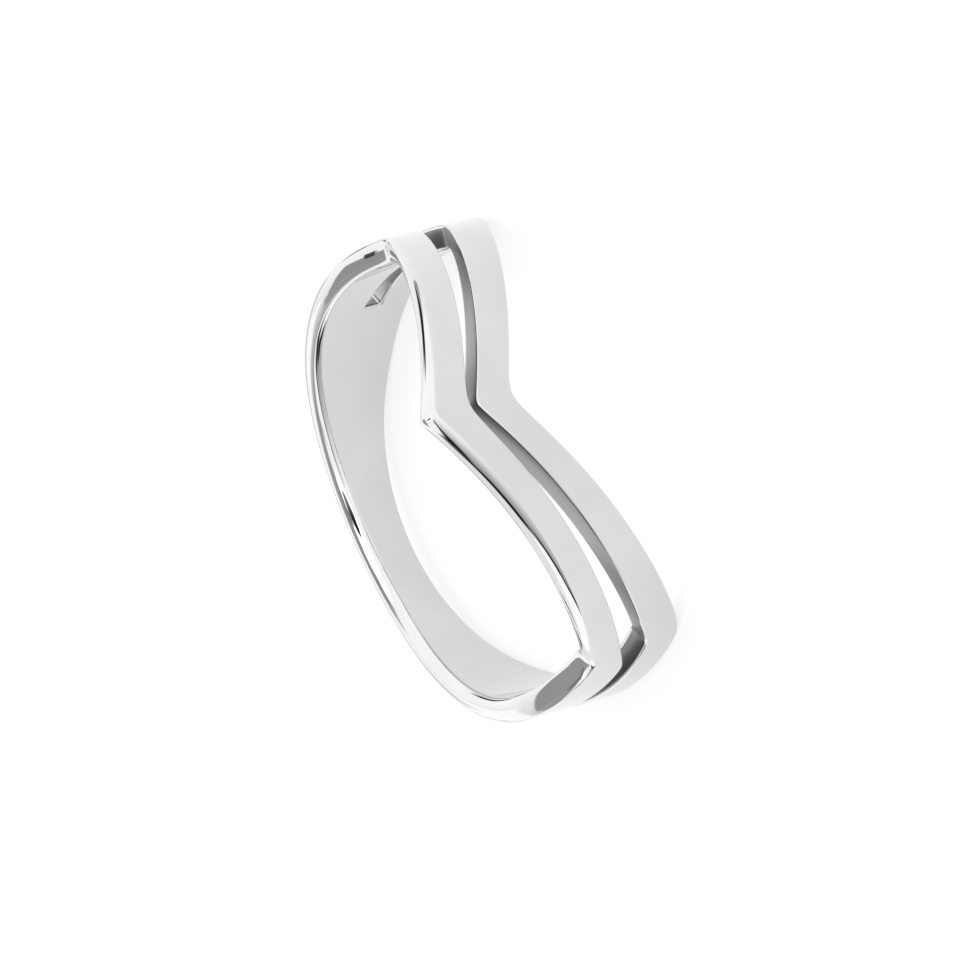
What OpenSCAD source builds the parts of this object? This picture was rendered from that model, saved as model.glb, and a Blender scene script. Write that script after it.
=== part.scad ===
// Chevron ring: two parallel V bands in front, one plain band behind.
// One solid piece of metal, lying on its lower edge with the V point up.
// Millimetres, +Z up. The origin is on the floor under the middle of the ring.
// Depths are measured down the ring's own axis, from the V point.
// Angles run around that axis from the V point and are the same on both sides.

/* [Hole and wall] */
// Inner diameter of the finger hole
inner_d = 17.3; // [15:0.1:21]
// Thickness of the metal
wall = 1.0; // [0.8:0.05:1.4]

/* [Arms] */
// Fall of the upper band along each arm, mm for each mm of arc
upper_fall = 0.8; // [0.77:0.01:0.83]
// Change of every arm's fall, for each mm of arc
arm_bend = 0.006; // [0:0.001:0.01]
// Height of the upper band at the V point
upper_band = 2.0; // [1.8:0.05:2.1]

/* [Slot] */
// Gap between the two bands at the V point
slot_gap = 0.4; // [0.3:0.05:0.6]
// Fall of the slot's lower wall, mm for each mm of arc
slot_fall = 0.88; // [0.85:0.01:0.9]
// Angle at which the slot closes
slot_end = 107; // [103:1:108]

/* [Lower edge] */
// Depth of the lower edge at the V point
lower_depth = 4.4; // [4.2:0.1:4.8]
// Fall of the lower edge, mm for each mm of arc
lower_fall = 0.93; // [0.88:0.01:0.95]
// Depth of the lower edge just behind its shoulder peak
peak_depth = 14.1; // [13.9:0.1:14.4]

/* [Back band] */
// Depth of the upper edge just behind the shoulder
shoulder_depth = 9.5; // [9.2:0.1:9.8]
// Depth of the upper edge at the back
back_depth = 13.5; // [12.5:0.1:13.8]
// Depth of the lower edge at the back
foot_depth = 15.7; // [15.4:0.1:16.2]

/* [Edges] */
// Rounding of the edges next to the finger
inner_round = 0.22; // [0.15:0.01:0.25]
// Rounding of the outer edges
outer_round = 0.1; // [0.06:0.01:0.15]

/* [Hidden] */
// Name of the node to draw, or all of them

inner_r = inner_d/2;
outer_r = inner_r + wall;
silver = [0.86, 0.86, 0.87];

// Angles at which the slot's two walls turn into the back band
slot_upper_turn = 80;
slot_lower_turn = 70;
// Depths of the slot's two walls at those turns and at the slot's end
slot_upper_shelf = 11.75;
slot_upper_close = 12.4;
slot_lower_shelf = 12.15;
slot_lower_close = 13.35;
// Angles over which the upper and lower edges settle to their depths at the back
shoulder_angle = 80;
back_angle = 180;
peak_angle = 69;
foot_angle = 134;
// Rounding of the edge lines at the V point and at the shoulders
point_round = 0.2;
v_round = 0.5;
corner_round = 0.06;
peak_round = 0.33;
// Overshoot of the cutting bodies past the metal
over = 0.6;
// Spacing of the cross-sections along the arms and the back, in degrees
arm_step = 8;
back_step = 10;

// Arc length at the finger hole from the V point, rounded by w next to it
function arc(a, w) = sqrt(pow(inner_r*a*PI/180, 2) + w*w) - w;

// Depth along an arm that starts at a given depth, with the V rounded by w
function arm(a, start, fall, w) = start + fall*arc(a, w) + arm_bend*pow(arc(a, w), 2);

// Depth that goes from d0 at angle a0 to d1 at angle a1 in a half cosine
function settled(a, a0, a1, d0, d1) = d1 - (d1 - d0)*(1 + cos(180*min(1, max(0, (a - a0)/(a1 - a0)))))/2;

// Depth that goes from d0 at angle a0 to d1 at angle a1 in a straight line
function ramp(a, a0, a1, d0, d1) = d0 + (d1 - d0)*(a - a0)/(a1 - a0);

// Lesser of two depths with a rounded change-over
function lesser(p, q, w) = (p + q)/2 - sqrt(pow((p - q)/2, 2) + w*w);

// Depths of the four edge lines at angle a
function upper_edge(a) = lesser(
    arm(a, 0, upper_fall, point_round),
    settled(a, shoulder_angle, back_angle, shoulder_depth, back_depth),
    corner_round);

function slot_upper(a) = lesser(
    arm(a, upper_band, upper_fall, v_round),
    ramp(a, slot_upper_turn, slot_end, slot_upper_shelf, slot_upper_close),
    corner_round);

function slot_lower(a) = lesser(
    arm(a, upper_band + slot_gap, slot_fall, point_round),
    ramp(a, slot_lower_turn, slot_end, slot_lower_shelf, slot_lower_close),
    corner_round);

function lower_edge(a) = lesser(
    arm(a, lower_depth, lower_fall, v_round),
    settled(a, peak_angle, foot_angle, peak_depth, foot_depth),
    peak_round);

// Lean of the ring's axis when it lies on its two shoulder peaks and its back
function foot(a, r, lean) = -r*cos(a)*sin(lean) - lower_edge(a)*cos(lean);
function front_foot(lean) = min([for (a = [50:1:90]) foot(a, outer_r - outer_round, lean)]);
function back_foot(lean) = min([for (a = [91:1:180]) foot(a, inner_r + inner_round, lean)]);
function lowest(lean) = min([for (a = [50:1:180]) for (r = [inner_r + inner_round, outer_r - outer_round])
    foot(a, r, lean)]);
function settle(lo, hi, n) =
    n == 0 ? (lo + hi)/2
    : front_foot((lo + hi)/2) > back_foot((lo + hi)/2) ? settle((lo + hi)/2, hi, n - 1)
    : settle(lo, (lo + hi)/2, n - 1);
lean_angle = settle(0, 20, 20);
lift = -lowest(lean_angle);
front_y = -outer_r*cos(lean_angle) + outer_round*sin(lean_angle);
back_y = outer_r*cos(lean_angle) + (foot_depth - outer_round)*sin(lean_angle);

// Angles of the cross-sections on one side, closer together at the corners
half_angles = concat(
    [0, 1, 2, 4],
    [for (a = [8:arm_step:56]) a],
    [62, 66, 68, 70, 71, 72, 75, 78, 80, 82, 85],
    [for (a = [90:back_step:170]) a]);
mirrored_angles = [for (i = [len(half_angles) - 1:-1:1]) -half_angles[i]];
ring_angles = concat(mirrored_angles, half_angles, [180]);
slot_angles = concat(
    [-slot_end],
    [for (a = concat(mirrored_angles, half_angles)) if (abs(a) < slot_end - 1) a],
    [slot_end]);

// Half-way point of a rounded edge, as a share of its radius
bow = 1 - cos(45);

// Rounded wall profile at depth d as [radius, depth]; side is 1 when the metal is below it
function wall_profile(d, side) = [
    [inner_r - over, d + side*(2 - bow)*inner_round],
    [inner_r - bow*inner_round, d + side*(2 - bow)*inner_round],
    [inner_r + bow*inner_round, d + side*bow*inner_round],
    [inner_r + inner_round, d],
    [outer_r - outer_round, d],
    [outer_r + over, d + side*(outer_round + over)]];

function reversed(list) = [for (i = [len(list) - 1:-1:0]) list[i]];

function upper_section(a) = concat(
    wall_profile(upper_edge(a), 1),
    [[outer_r + over, -2*over], [inner_r - over, -2*over]]);

function lower_section(a) = reversed(concat(
    wall_profile(lower_edge(a), -1),
    [[outer_r + over, foot_depth + 2*over], [inner_r - over, foot_depth + 2*over]]));

function slot_section(a) = concat(
    wall_profile(slot_lower(a), 1),
    reversed(wall_profile(slot_upper(a), -1)));

// Point of a section at angle a
function placed(a, p) = [p[0]*sin(a), -p[0]*cos(a), -p[1]];

// Body swept through the sections, closed on itself or capped at both ends by strips
// between a section's first half and its second
module swept(angles, sections, closed) {
    m = len(sections[0]);
    n = len(sections);
    points = [for (i = [0:n - 1]) for (p = sections[i]) placed(angles[i], p)];
    last = closed ? n - 1 : n - 2;
    near_faces = [for (i = [0:last]) for (j = [0:m - 1])
        [i*m + j, i*m + (j + 1) % m, ((i + 1) % n)*m + j]];
    far_faces = [for (i = [0:last]) for (j = [0:m - 1])
        [((i + 1) % n)*m + j, i*m + (j + 1) % m, ((i + 1) % n)*m + (j + 1) % m]];
    rungs = closed ? [] : [for (j = [0:m/2 - 2]) [j, j + 1, m - 2 - j, m - 1 - j]];
    first_cap = [for (r = rungs) reversed(r)];
    last_cap = [for (r = rungs) [for (j = r) (n - 1)*m + j]];
    polyhedron(points = points, faces = concat(near_faces, far_faces, first_cap, last_cap), convexity = 6);
}

// Plain tube that the bands are cut from
module tube() {
    translate([0, 0, -foot_depth - over])
        difference() {
            cylinder(r = outer_r, h = foot_depth + 2*over, $fn = 180);
            translate([0, 0, -over])
                cylinder(r = inner_r, h = foot_depth + 4*over, $fn = 180);
        }
}

// Ring about its own axis, V point at depth zero
module bands() {
    difference() {
        tube();
        swept(ring_angles, [for (a = ring_angles) upper_section(abs(a))], true);
        swept(ring_angles, [for (a = ring_angles) lower_section(abs(a))], true);
        swept(slot_angles, [for (a = slot_angles) slot_section(abs(a))], false);
    }
}

module ring() {
    color(silver)
        translate([0, -(front_y + back_y)/2, lift])
            rotate([lean_angle, 0, 0])
                bands();
}

ring();
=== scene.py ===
# Looks for the two-band chevron ring: polished silver on a white floor.
# Lengths in the ring section are millimetres, as in the part's source, and become metres in the mesh.

import math

import bpy
import numpy as np
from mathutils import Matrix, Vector
from mathutils.kdtree import KDTree


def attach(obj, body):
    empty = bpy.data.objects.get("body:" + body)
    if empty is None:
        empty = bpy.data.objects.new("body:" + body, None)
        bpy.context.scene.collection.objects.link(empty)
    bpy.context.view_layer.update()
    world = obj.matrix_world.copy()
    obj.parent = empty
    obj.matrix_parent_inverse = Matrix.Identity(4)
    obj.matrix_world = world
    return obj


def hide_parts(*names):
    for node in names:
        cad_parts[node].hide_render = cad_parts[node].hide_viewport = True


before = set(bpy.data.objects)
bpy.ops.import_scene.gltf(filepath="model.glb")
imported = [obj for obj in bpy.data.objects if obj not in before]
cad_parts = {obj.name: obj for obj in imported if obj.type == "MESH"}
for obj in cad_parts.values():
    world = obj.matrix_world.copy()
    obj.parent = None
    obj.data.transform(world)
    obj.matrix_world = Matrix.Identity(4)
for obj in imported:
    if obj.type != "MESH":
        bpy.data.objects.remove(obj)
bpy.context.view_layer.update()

# Ring sizes, the same as in the part's source
INNER_R = 8.65
OUTER_R = 9.65
UPPER_FALL, ARM_BEND, UPPER_BAND = 0.8, 0.006, 2.0
SLOT_GAP, SLOT_FALL, SLOT_END = 0.4, 0.88, 107.0
LOWER_DEPTH, LOWER_FALL, PEAK_DEPTH = 4.4, 0.93, 14.1
SHOULDER_DEPTH, BACK_DEPTH, FOOT_DEPTH = 9.5, 13.5, 15.7
SLOT_UPPER_TURN, SLOT_UPPER_SHELF, SLOT_UPPER_CLOSE = 80.0, 11.75, 12.4
SLOT_LOWER_TURN, SLOT_LOWER_SHELF, SLOT_LOWER_CLOSE = 70.0, 12.15, 13.35
SHOULDER_ANGLE, BACK_ANGLE = 80.0, 180.0
PEAK_ANGLE, FOOT_ANGLE = 69.0, 134.0
POINT_ROUND, V_ROUND, CORNER_ROUND, PEAK_ROUND = 0.2, 0.5, 0.06, 0.33
# Softened edges, each a quarter ellipse: width along the surface and depth into the wall,
# for the upper edge, the lower edge and the slot, on the outer and the inner surface
OUTER_WIDTH, OUTER_DEPTH = (0.38, 0.1, 0.08), (0.53, 0.1, 0.12)
INNER_WIDTH, INNER_DEPTH = (0.33, 0.22, 0.1), (0.45, 0.22, 0.15)
# The upper edge is crowned: its middle stands above its corners by this height
CROWN = 0.1
# Behind the shoulders the crown has only a share of that height: where it starts and stops, the
# lengths of the changes there, all in degrees, and the shares on the side of minus X and of plus X
FLAT_START, FLAT_STOP = 75.0, 108.0
START_BLEND, STOP_BLEND = 7.0, 14.0
FLAT_SHARES = (0.25, 0.7)
# How the ring lies: lean of its axis, height of the V point's level, shift along Y
LEAN = math.radians(11.8751)
LIFT = 14.2697
SHIFT_Y = -1.61535
MM = 0.001

# Columns of the mesh, as angles on one side: start, stop and spacing of each stretch, closer
# together at the V point and the shoulder, and distances of more columns from the slot's end
FRONT_STRETCHES = [(0, 4, 0.25), (4, 64, 0.75), (64, 86, 0.4), (86, 104.5, 0.75)]
BACK_STRETCH = (110, 180, 0.75)
END_OFFSETS = np.array([0, 0.06, 0.22, 0.45, 0.75, 1.1, 1.5, 2.0])
# Rows of the mesh: steps over a rounded edge, over the rest of a band and across the slot's end
EDGE_STEPS = 10
BAND_STEPS = 5
SLOT_STEPS = 8
# Place of the first row past a rounded edge, as a share of the edge's width
EDGE_MARGIN = 1.25
# Points on the lines that distances to the edges are measured from
LINE_POINTS = 7201
END_POINTS = 80
# Rows through the wall's thickness, as shares of it: at the upper edge, the lower edge and the slot
WALL_SHARES = ((0.5,), (0.06, 0.5, 0.94), (0.06, 0.5, 0.94))


def arc(a, w):
    """Arc length at the finger hole from the V point, rounded by w next to it."""
    return np.sqrt((INNER_R * np.radians(a)) ** 2 + w * w) - w


def arm(a, start, fall, w):
    """Depth along an arm that starts at a given depth, with the V rounded by w."""
    return start + fall * arc(a, w) + ARM_BEND * arc(a, w) ** 2


def settled(a, a0, a1, d0, d1):
    """Depth that goes from d0 at angle a0 to d1 at angle a1 in a half cosine."""
    return d1 - (d1 - d0) * (1 + np.cos(np.pi * np.clip((a - a0) / (a1 - a0), 0, 1))) / 2


def ramp(a, a0, a1, d0, d1):
    """Depth that goes from d0 at angle a0 to d1 at angle a1 in a straight line."""
    return d0 + (d1 - d0) * (a - a0) / (a1 - a0)


def lesser(p, q, w):
    """Lesser of two depths with a rounded change-over."""
    return (p + q) / 2 - np.sqrt(((p - q) / 2) ** 2 + w * w)


def upper_edge(a):
    a = abs(a)
    return lesser(arm(a, 0, UPPER_FALL, POINT_ROUND),
                  settled(a, SHOULDER_ANGLE, BACK_ANGLE, SHOULDER_DEPTH, BACK_DEPTH), CORNER_ROUND)


def slot_upper(a):
    a = abs(a)
    return lesser(arm(a, UPPER_BAND, UPPER_FALL, V_ROUND),
                  ramp(a, SLOT_UPPER_TURN, SLOT_END, SLOT_UPPER_SHELF, SLOT_UPPER_CLOSE), CORNER_ROUND)


def slot_lower(a):
    a = abs(a)
    return lesser(arm(a, UPPER_BAND + SLOT_GAP, SLOT_FALL, POINT_ROUND),
                  ramp(a, SLOT_LOWER_TURN, SLOT_END, SLOT_LOWER_SHELF, SLOT_LOWER_CLOSE), CORNER_ROUND)


def lower_edge(a):
    a = abs(a)
    return lesser(arm(a, LOWER_DEPTH, LOWER_FALL, V_ROUND),
                  settled(a, PEAK_ANGLE, FOOT_ANGLE, PEAK_DEPTH, FOOT_DEPTH), PEAK_ROUND)


def crown(a):
    """Share of the crown's full size at angle a."""
    entry = np.clip((abs(a) - FLAT_START) / START_BLEND + 0.5, 0, 1)
    flat = entry * np.clip((FLAT_STOP - abs(a)) / STOP_BLEND + 0.5, 0, 1)
    return 1 - (1 - np.where(a < 0, *FLAT_SHARES)) * flat


def upper_rim(a):
    """Upper edge with its crown."""
    return upper_edge(a) - CROWN * crown(a)


def column_angles():
    """Angles of the columns all the way round, rising, with 180 as the last."""
    half = np.concatenate([
        *[np.arange(*stretch) for stretch in FRONT_STRETCHES],
        SLOT_END - END_OFFSETS[::-1], SLOT_END + END_OFFSETS[1:], np.arange(*BACK_STRETCH)])
    return np.concatenate([-half[:0:-1], half, [180.0]])


# Angles and number of the columns, and which of them stand at the slot's two ends
ANGLES = column_angles()
COLUMNS = len(ANGLES)
START, END = (int(np.argmin(abs(ANGLES - side * SLOT_END))) for side in (-1, 1))


def slope(edge, a):
    """Change of an edge's depth for each mm of arc."""
    d = 0.02
    return (edge(a + d) - edge(a - d)) / (2 * math.radians(d) * INNER_R)


def edge_rows(edge, a, side, width):
    """Rows that follow a rounded edge; side is 1 when the metal is below it."""
    stretch = np.sqrt(1 + slope(edge, a)[:, None] ** 2)
    turn = np.linspace(0, math.pi / 2, EDGE_STEPS + 1)
    steps = np.append(1 - np.cos(turn), EDGE_MARGIN)[None, :] * np.reshape(width, (-1, 1))
    return edge(a)[:, None] + side * steps * stretch


def between(first, last, steps):
    """Evenly spaced rows between two rows, without them."""
    t = np.linspace(0, 1, steps + 1)[1:-1]
    return first[:, None] * (1 - t) + last[:, None] * t


def band_rows(top, top_width, bottom, bottom_width, a):
    """Rows of one band from its upper edge to its lower edge."""
    first = edge_rows(top, a, 1, top_width)
    last = edge_rows(bottom, a, -1, bottom_width)[:, ::-1]
    return np.hstack([first, between(first[:, -1], last[:, 0], BAND_STEPS), last])


def grid_rows(upper, lower):
    """Rows of every column from the rows of the two bands, with none in the slot between them."""
    front = abs(ANGLES) <= SLOT_END
    n_band = upper.shape[1]
    rows = np.full((COLUMNS, 2 * n_band + SLOT_STEPS - 1), np.nan)
    rows[front, :n_band] = upper[front]
    rows[front, -n_band:] = lower[front]
    for end in (START, END):
        inside = between(upper[end, -1:], lower[end, :1], SLOT_STEPS)[0]
        rows[end] = np.concatenate([upper[end], inside, lower[end]])
    # Behind the slot the middle rows spread evenly between the two edges' own rows
    keep = EDGE_STEPS + 2
    share = (rows[END] - rows[END, keep - 1]) / (rows[END, -keep] - rows[END, keep - 1])
    top, bottom = upper[~front, :keep], lower[~front, -keep:]
    rows[~front] = top[:, -1:] * (1 - share) + bottom[:, :1] * share
    rows[~front, :keep] = top
    rows[~front, -keep:] = bottom
    return rows


def boundary_tree(radius):
    """Search tree over the edge lines of one surface, unrolled, with their points.

    The kind of a point is 0 on the upper edge, 1 on the lower edge and 2 on the slot's.
    """
    a = np.linspace(-180, 180, LINE_POINTS)
    front = a[abs(a) <= SLOT_END]
    lines = [(a, upper_rim(a)), (a, lower_edge(a)),
             (front, slot_upper(front)), (front, slot_lower(front))]
    for end in (-SLOT_END, SLOT_END):
        depth = np.linspace(SLOT_UPPER_CLOSE, SLOT_LOWER_CLOSE, END_POINTS)
        lines.append((np.full(END_POINTS, end), depth))
    points, nexts, kinds = [], [], []
    for k, (angle, depth) in enumerate(lines):
        p = np.stack([np.radians(angle) * radius, depth], 1)
        points.append(p)
        kinds.append(np.full(len(p), min(k, 2)))
        nexts.append(np.stack([np.vstack([p[:1], p[:-1]]), np.vstack([p[1:], p[-1:]])], 1))
    points, nexts, kinds = np.vstack(points), np.vstack(nexts), np.concatenate(kinds)
    tree = KDTree(len(points))
    for i, (u, v) in enumerate(points):
        tree.insert((u, v, 0), i)
    tree.balance()
    return tree, points, nexts, kinds


def edge_distance(u, v, tree, points, nexts, kinds):
    """Distance from each unrolled point to the nearest edge line, and that line's kind."""
    out = np.empty(len(u))
    kind = np.empty(len(u), int)
    for k in range(len(u)):
        _, i, _ = tree.find((u[k], v[k], 0))
        p = np.array([u[k], v[k]])
        best = np.linalg.norm(p - points[i])
        for q in nexts[i]:
            e = q - points[i]
            n = e @ e
            if n > 0:
                t = min(1.0, max(0.0, (p - points[i]) @ e / n))
                best = min(best, np.linalg.norm(p - points[i] - t * e))
        out[k], kind[k] = best, kinds[i]
    return out, kind


class Sheet:
    """One surface of the wall, inner or outer, with its rounded edges, as a grid of vertices."""

    def __init__(self, radius, widths, depths, outwards, first_index):
        upper = band_rows(upper_rim, widths[0] * crown(ANGLES), slot_upper, widths[2], ANGLES)
        lower = band_rows(slot_lower, widths[2], lower_edge, widths[1], ANGLES)
        rows = grid_rows(upper, lower)
        self.outwards = outwards
        self.last_row = rows.shape[1] - 1
        # Rows at the slot's upper and lower wall
        self.slot_top = upper.shape[1] - 1
        self.slot_bottom = self.last_row - self.slot_top
        cols, row = np.nonzero(~np.isnan(rows))
        angles = ANGLES[cols]
        u, v = np.radians(angles) * radius, rows[cols, row]
        on_slot = (abs(angles) <= SLOT_END) & ((row == self.slot_top) | (row == self.slot_bottom))
        at_slot_end = (cols == END) | (cols == START)
        on_slot |= at_slot_end & (row >= self.slot_top) & (row <= self.slot_bottom)
        inside = ~((row == 0) | (row == self.last_row) | on_slot)
        near = np.zeros(len(u))
        kind = np.where(row == 0, 0, np.where(row == self.last_row, 1, 2))
        near[inside], kind[inside] = edge_distance(u[inside], v[inside], *boundary_tree(radius))
        width = np.array(widths)[kind] * np.where(kind == 0, crown(angles), 1)
        fillet = np.array(depths)[kind] * (1 - np.sqrt(1 - (1 - np.minimum(near / width, 1)) ** 2))
        r = radius - fillet if outwards else radius + fillet
        theta = np.radians(angles)
        self.coords = np.stack([r * np.sin(theta), -r * np.cos(theta), -v], 1)
        self.index = {key: first_index + k for k, key in enumerate(zip(cols.tolist(), row.tolist()))}

    def faces(self):
        out = []
        for c in range(COLUMNS):
            d = (c + 1) % COLUMNS
            open_front = START <= c < END
            for q in range(self.last_row):
                if open_front and self.slot_top <= q < self.slot_bottom:
                    continue
                quad = [self.index[c, q], self.index[c, q + 1], self.index[d, q + 1], self.index[d, q]]
                out.append(quad[::-1] if not self.outwards else quad)
        return out

    def loops(self):
        """Vertex keys along each edge, with the metal on the same side."""
        top = [(c, 0) for c in range(COLUMNS)]
        bottom = [(c, self.last_row) for c in range(COLUMNS)][::-1]
        slot = [(c, self.slot_bottom) for c in range(START, END)]
        slot += [(END, q) for q in range(self.slot_bottom, self.slot_top, -1)]
        slot += [(c, self.slot_top) for c in range(END, START, -1)]
        slot += [(START, q) for q in range(self.slot_top, self.slot_bottom)]
        return top, bottom, slot


def ring_mesh():
    """Vertices and faces of the whole ring, closed, in the ring's own frame, in mm.

    The slot's walls are the last faces; the third result is the number of faces before them.
    """
    outer = Sheet(OUTER_R, OUTER_WIDTH, OUTER_DEPTH, True, 0)
    inner = Sheet(INNER_R, INNER_WIDTH, INNER_DEPTH, False, len(outer.coords))
    coords = [*outer.coords, *inner.coords]
    faces = outer.faces() + inner.faces()
    for loop, shares in zip(outer.loops(), WALL_SHARES):
        rails = [[outer.index[key] for key in loop]]
        for t in shares:
            rail = []
            for key in loop:
                p, q = coords[outer.index[key]], coords[inner.index[key]]
                rail.append(len(coords))
                coords.append(p * (1 - t) + q * t)
            rails.append(rail)
        rails.append([inner.index[key] for key in loop])
        n = len(loop)
        before = len(faces)
        for near, far in zip(rails[:-1], rails[1:]):
            for i in range(n):
                j = (i + 1) % n
                faces.append([near[i], near[j], far[j], far[i]])
    return np.array(coords), faces, before


def placed(coords):
    """From the ring's own frame in mm to the part's frame in metres."""
    x, y, z = coords.T
    c, s = math.cos(LEAN), math.sin(LEAN)
    return np.stack([x, y * c - z * s + SHIFT_Y, y * s + z * c + LIFT], 1) * MM


# Length of the slot, in degrees, over which its walls go from polished and unshaded at its end to fully
# dull and fully darkened by painted shade
END_FADE = 10.0


def face_dullness_and_shade(n_faces, polished):
    """Dullness and painted shade of each face: none on the first, polished ones and up to 1 on the
    slot's walls.
    """
    long_wall = np.clip((SLOT_END - abs(ANGLES[START:END])) / END_FADE, 0, 1)
    end_wall = np.zeros(SLOT_STEPS)
    once_round = np.concatenate([long_wall, end_wall, long_wall[::-1], end_wall])
    dullness_and_shade = np.zeros(n_faces)
    dullness_and_shade[polished:] = np.resize(once_round, n_faces - polished)
    return dullness_and_shade


def polished_ring():
    coords, faces, polished = ring_mesh()
    mesh = bpy.data.meshes.new("polished_ring")
    mesh.from_pydata(placed(coords).tolist(), [], faces)
    mesh.validate()
    mesh.update()
    mesh.shade_smooth()
    # Face attribute for the slot walls' dullness and their painted shade
    dullness_and_shade = mesh.attributes.new("dullness_and_shade", "FLOAT", "FACE")
    dullness_and_shade.data.foreach_set("value", face_dullness_and_shade(len(faces), polished))
    ring = bpy.data.objects.new("polished_ring", mesh)
    bpy.context.collection.objects.link(ring)
    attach(ring, "root")
    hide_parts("ring")
    return ring


# Numbers of the sockets that share a name with others on their node
MAP_FROM_MIN, MAP_FROM_MAX = 7, 8
MIX_SHARE, MIX_A, MIX_B, MIX_RESULT = 0, 2, 3, 0
BLEND_A, BLEND_B, BLEND_RESULT = 6, 7, 2


def feed(tree, socket, value):
    """Link an input to another node's output, or set its value."""
    if isinstance(value, bpy.types.NodeSocket):
        tree.links.new(value, socket)
    else:
        socket.default_value = value


def add(tree, kind, **inputs):
    """New node with some input values or links."""
    node = tree.nodes.new(kind)
    for name, value in inputs.items():
        feed(tree, node.inputs[name], value)
    return node


def math_node(tree, operation, *values, kind="ShaderNodeMath"):
    """Result of a math node with its inputs in order."""
    node = tree.nodes.new(kind)
    node.operation = operation
    for socket, value in zip(node.inputs, values):
        feed(tree, socket, value)
    return node.outputs[0]


def vector_node(tree, operation, *values):
    """Result of a vector math node with its inputs in order."""
    return math_node(tree, operation, *values, kind="ShaderNodeVectorMath")


# Polished silver: a mirror with faint polishing waves, fine scratches and a slightly duller film, and
# satin walls in the slot, where the buffing wheel doesn't reach, darkened with painted shade for the
# narrow gap
FILM_SCALE, FILM_EDGES = 260.0, (0.35, 0.7)
FILM_TONES = ((0.63, 0.63, 0.634, 1), (0.67, 0.67, 0.674, 1))
SCRATCH_SCALES = (900.0, 900.0, 9000.0)
SCRATCH_ROUGHNESS = (0.02, 0.06)
SLOT_ROUGHNESS = 0.25
# Painted shade in the slot: the base colour on its walls is multiplied by this grey
SLOT_PAINTED_SHADE = (0.46, 0.46, 0.46, 1)
WAVE_SCALE, WAVE_STRENGTH, WAVE_HEIGHT = 420.0, 0.12, 0.00002


def silver():
    mat = bpy.data.materials.new("polished_silver")
    mat.use_nodes = True
    tree = mat.node_tree
    shader = tree.nodes["Principled BSDF"]
    shader.inputs["Metallic"].default_value = 1.0
    place = add(tree, "ShaderNodeTexCoord").outputs["Object"]
    dullness_and_shade = tree.nodes.new("ShaderNodeAttribute")
    dullness_and_shade.attribute_name = "dullness_and_shade"

    film = add(tree, "ShaderNodeTexNoise", Vector=place, Scale=FILM_SCALE, Detail=3.0, Roughness=0.5)
    tone = add(tree, "ShaderNodeValToRGB", Fac=film.outputs["Fac"])
    for stop, edge, colour in zip(tone.color_ramp.elements, FILM_EDGES, FILM_TONES):
        stop.position = edge
        stop.color = colour
    # Painted shade: the base colour is darkened on the slot's walls, as far as they are dull
    shade = tree.nodes.new("ShaderNodeMix")
    shade.data_type = "RGBA"
    shade.blend_type = "MULTIPLY"
    tree.links.new(dullness_and_shade.outputs["Fac"], shade.inputs["Factor"])
    tree.links.new(tone.outputs["Color"], shade.inputs[BLEND_A])
    shade.inputs[BLEND_B].default_value = SLOT_PAINTED_SHADE
    tree.links.new(shade.outputs[BLEND_RESULT], shader.inputs["Base Color"])

    stretch = add(tree, "ShaderNodeMapping", Vector=place, Scale=SCRATCH_SCALES)
    scratches = add(tree, "ShaderNodeTexNoise", Vector=stretch.outputs["Vector"], Scale=1.0,
                    Detail=4.0, Roughness=0.6)
    worn = add(tree, "ShaderNodeMapRange", Value=scratches.outputs["Fac"])
    worn.inputs["To Min"].default_value, worn.inputs["To Max"].default_value = SCRATCH_ROUGHNESS
    satin = math_node(tree, "MULTIPLY", dullness_and_shade.outputs["Fac"], SLOT_ROUGHNESS)
    tree.links.new(math_node(tree, "ADD", worn.outputs["Result"], satin), shader.inputs["Roughness"])

    waves = add(tree, "ShaderNodeTexNoise", Vector=place, Scale=WAVE_SCALE, Detail=1.0, Roughness=0.4)
    bump = add(tree, "ShaderNodeBump", Height=waves.outputs["Fac"], Strength=WAVE_STRENGTH,
               Distance=WAVE_HEIGHT)
    tree.links.new(bump.outputs["Normal"], shader.inputs["Normal"])
    return mat


ring = polished_ring()
ring.data.materials.append(silver())


# Floor: a pale glass that glows softly, as on a light table
FLOOR_RADIUS = 0.1
FLOOR_SIDES = 180
FLOOR_GLOW = 0.65
FLOOR_ROUGHNESS, FLOOR_SPECULAR = 0.6, 0.1
GRAIN_SCALE = 400.0
GRAIN_TONES = ((0.34, 0.34, 0.34, 1), (0.36, 0.36, 0.36, 1))


def floor_material():
    mat = bpy.data.materials.new("white_floor")
    mat.use_nodes = True
    tree = mat.node_tree
    shader = tree.nodes["Principled BSDF"]
    shader.inputs["Roughness"].default_value = FLOOR_ROUGHNESS
    shader.inputs["Specular IOR Level"].default_value = FLOOR_SPECULAR
    shader.inputs["Emission Color"].default_value = (1, 1, 1, 1)
    shader.inputs["Emission Strength"].default_value = FLOOR_GLOW
    place = add(tree, "ShaderNodeTexCoord").outputs["Object"]
    grain = add(tree, "ShaderNodeTexNoise", Vector=place, Scale=GRAIN_SCALE, Detail=2.0)
    tone = add(tree, "ShaderNodeValToRGB", Fac=grain.outputs["Fac"])
    for stop, colour in zip(tone.color_ramp.elements, GRAIN_TONES):
        stop.color = colour
    tree.links.new(tone.outputs["Color"], shader.inputs["Base Color"])
    return mat


bpy.ops.mesh.primitive_circle_add(vertices=FLOOR_SIDES, radius=FLOOR_RADIUS, fill_type="NGON",
                                  location=(0, 0, 0))
floor = bpy.context.object
floor.name = "floor"
floor.data.materials.append(floor_material())

# Soft studio surroundings by direction. Angles are in degrees: azimuth 0 is -Y and 90 is +X.
# First the brightness for each elevation
ELEVATION_STOPS = [(-90, 1.2), (-4, 1.2), (4, 1.4), (35, 1.4), (60, 1.35), (66, 2.5), (90, 2.6)]
BRIGHTEST = 2.6
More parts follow.
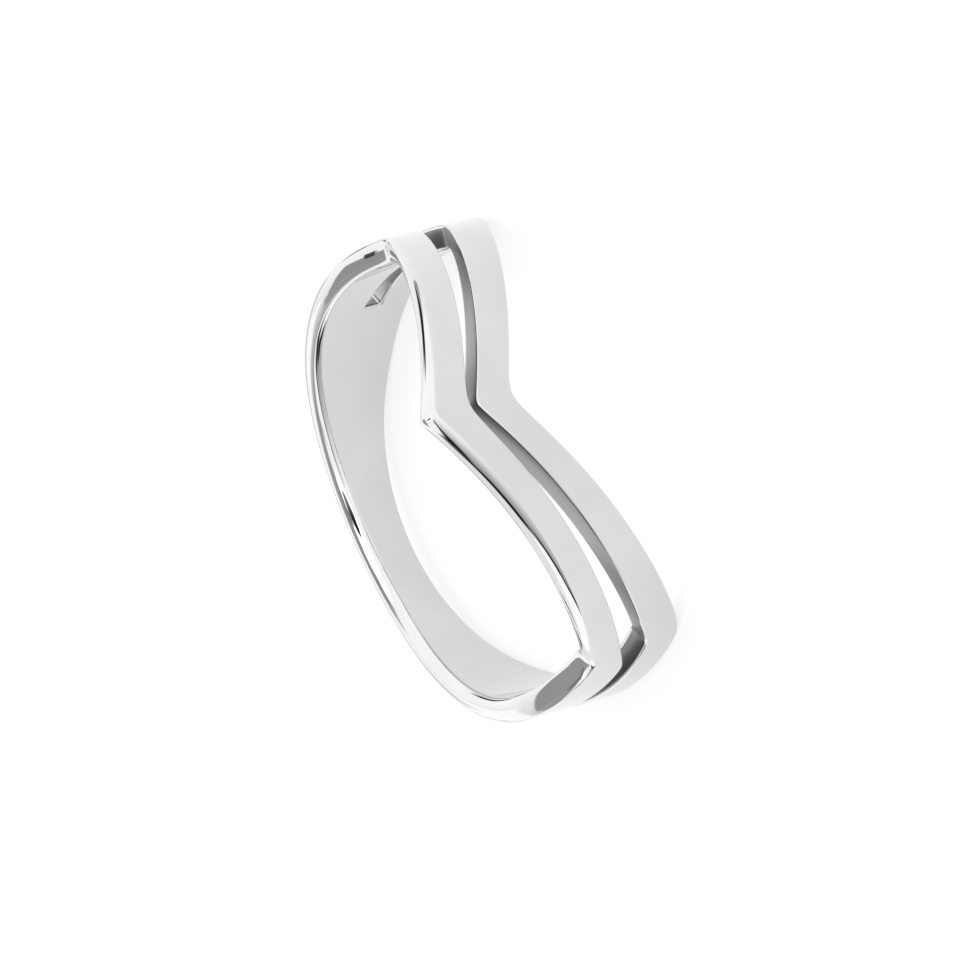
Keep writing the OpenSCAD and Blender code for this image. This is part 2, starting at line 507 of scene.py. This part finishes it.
# Then cards, each over the ones before it: azimuth and elevation of the middle, rise for each degree
# of azimuth, half width, half height, softness of the sides, softness of the top and bottom, brightness
CARDS = [
    # A wide shade, with paler walls in front of it
    (234, 14, 0, 50.5, 36, 89, 10, 0.5),
    (200, 1, 0, 38, 18, 2, 4, 1.45),
    (198, 22, 0, 33, 9, 2, 4, 1.45),
    (206, 13, 0.72, 18, 4, 3, 3, 1.13),
    # Dark strips and a pale wall for the black lines along the lower arm's upper edge
    (241, 0, 0, 4.5, 10, 3, 3, 0.02),
    (243.5, 13.5, 0, 6, 6.5, 3, 3, 0.02),
    (233, 25.5, 0, 9.5, 4.5, 3, 3, 0.02),
    (244, 44, 0.25, 26, 8, 4, 2, 1.4),
    (266, 39.5, 0.25, 36, 1.9, 6, 1.5, 0.02),
    # Shade for the outline of the back band
    (160, -1, 0, 13, 9, 6, 10, 0.75),
    # Dark strip for the inner corner of the lower arm's upper edge
    (184, -7, 0.8, 5, 3, 2, 1, 0.02),
    # Shade and dark strip for the upper arm's upper edge and the back band's inner edge
    (128, -6, 0, 8, 10, 10, 6, 0.45),
    (130.5, 3, -0.6, 7, 4, 3, 2, 0.02),
    # Grey walls for the upper edge behind the shoulders, with a dark end
    (165, 48.5, 0, 18, 12.5, 4, 2, 0.43),
    (187, 56.5, 0, 19, 8, 3, 2, 0.43),
    (198, 48, 0, 15, 11, 4, 2, 0.45),
    (146, 53.2, 0.45, 8.5, 2.5, 6, 2, 0.08),
    # Dark ceiling for the lens on the back band's upper edge
    (192, 63, 0, 7, 7, 4, 3, 0.27),
    (256, 78, 0, 62, 10, 8, 3, 0.27),
    (262, 81.5, 0, 66, 6.5, 8, 5, 0.02),
]


def slanted(sky, azimuth, elevation, rise):
    """Direction as the point (azimuth, elevation), slanted so that a card of this rise lies level."""
    if rise:
        elevation = math_node(sky, "MULTIPLY_ADD", azimuth, -rise, elevation)
    return add(sky, "ShaderNodeCombineXYZ", X=azimuth, Y=elevation).outputs["Vector"]


def over(sky, level, point, middle, half_w, half_h, soft_w, soft_h, brightness):
    """Brightness at a point with one more card laid over it."""
    off = vector_node(sky, "ABSOLUTE", vector_node(sky, "SUBTRACT", point, middle))
    fade = sky.nodes.new("ShaderNodeMapRange")
    fade.data_type, fade.interpolation_type = "FLOAT_VECTOR", "SMOOTHSTEP"
    sky.links.new(off, fade.inputs["Vector"])
    fade.inputs[MAP_FROM_MIN].default_value = (half_w + soft_w / 2, half_h + soft_h / 2, 1)
    fade.inputs[MAP_FROM_MAX].default_value = (half_w - soft_w / 2, half_h - soft_h / 2, 0)
    parts = add(sky, "ShaderNodeSeparateXYZ", Vector=fade.outputs["Vector"]).outputs
    mix = sky.nodes.new("ShaderNodeMix")
    sky.links.new(math_node(sky, "MULTIPLY", parts["X"], parts["Y"]), mix.inputs[MIX_SHARE])
    sky.links.new(level, mix.inputs[MIX_A])
    mix.inputs[MIX_B].default_value = brightness
    return mix.outputs[MIX_RESULT]


def studio():
    world = bpy.data.worlds.new("studio")
    world.use_nodes = True
    sky = world.node_tree
    direction = add(sky, "ShaderNodeTexCoord").outputs["Generated"]
    axes = add(sky, "ShaderNodeSeparateXYZ", Vector=direction).outputs
    elevation = math_node(sky, "DEGREES", math_node(sky, "ARCSINE", axes["Z"]))
    turn = math_node(sky, "ARCTAN2", axes["X"], math_node(sky, "MULTIPLY", axes["Y"], -1))
    azimuth = math_node(sky, "MODULO", math_node(sky, "ADD", math_node(sky, "DEGREES", turn), 360), 360)
    share = math_node(sky, "DIVIDE", math_node(sky, "ADD", elevation, 90), 180)
    walls = add(sky, "ShaderNodeValToRGB", Fac=share)
    stops = walls.color_ramp.elements
    while len(stops) < len(ELEVATION_STOPS):
        stops.new(0.5)
    for stop, (angle, brightness) in zip(stops, ELEVATION_STOPS):
        stop.position = (angle + 90) / 180
        stop.color = (brightness / BRIGHTEST,) * 3 + (1,)
    level = math_node(sky, "MULTIPLY", walls.outputs["Color"], BRIGHTEST)
    points = {}
    for az, el, rise, *shape in CARDS:
        if rise not in points:
            points[rise] = slanted(sky, azimuth, elevation, rise)
        level = over(sky, level, points[rise], (az, el - rise * az, 0), *shape)
    background = sky.nodes["Background"]
    background.inputs["Color"].default_value = (1, 1, 1, 1)
    sky.links.new(level, background.inputs["Strength"])
    return world


scene = bpy.context.scene
scene.world = studio()

scene.view_settings.view_transform = "Standard"
scene.view_settings.look = "None"

# Camera at the photo's angle
CAMERA_PLACE = Vector((-0.064056, -0.280975, 0.208102))
CAMERA_TURN = [math.radians(angle) for angle in (-23.970, 50.714, -132.634)]
CAMERA_LENS = 344.9
CLIP_NEAR, CLIP_FAR = 0.01, 10

camera_data = bpy.data.cameras.new("camera")
camera_data.lens = CAMERA_LENS
camera_data.clip_start = CLIP_NEAR
camera_data.clip_end = CLIP_FAR
camera = bpy.data.objects.new("camera", camera_data)
camera.location = CAMERA_PLACE
camera.rotation_euler = CAMERA_TURN
bpy.context.collection.objects.link(camera)
scene.camera = camera
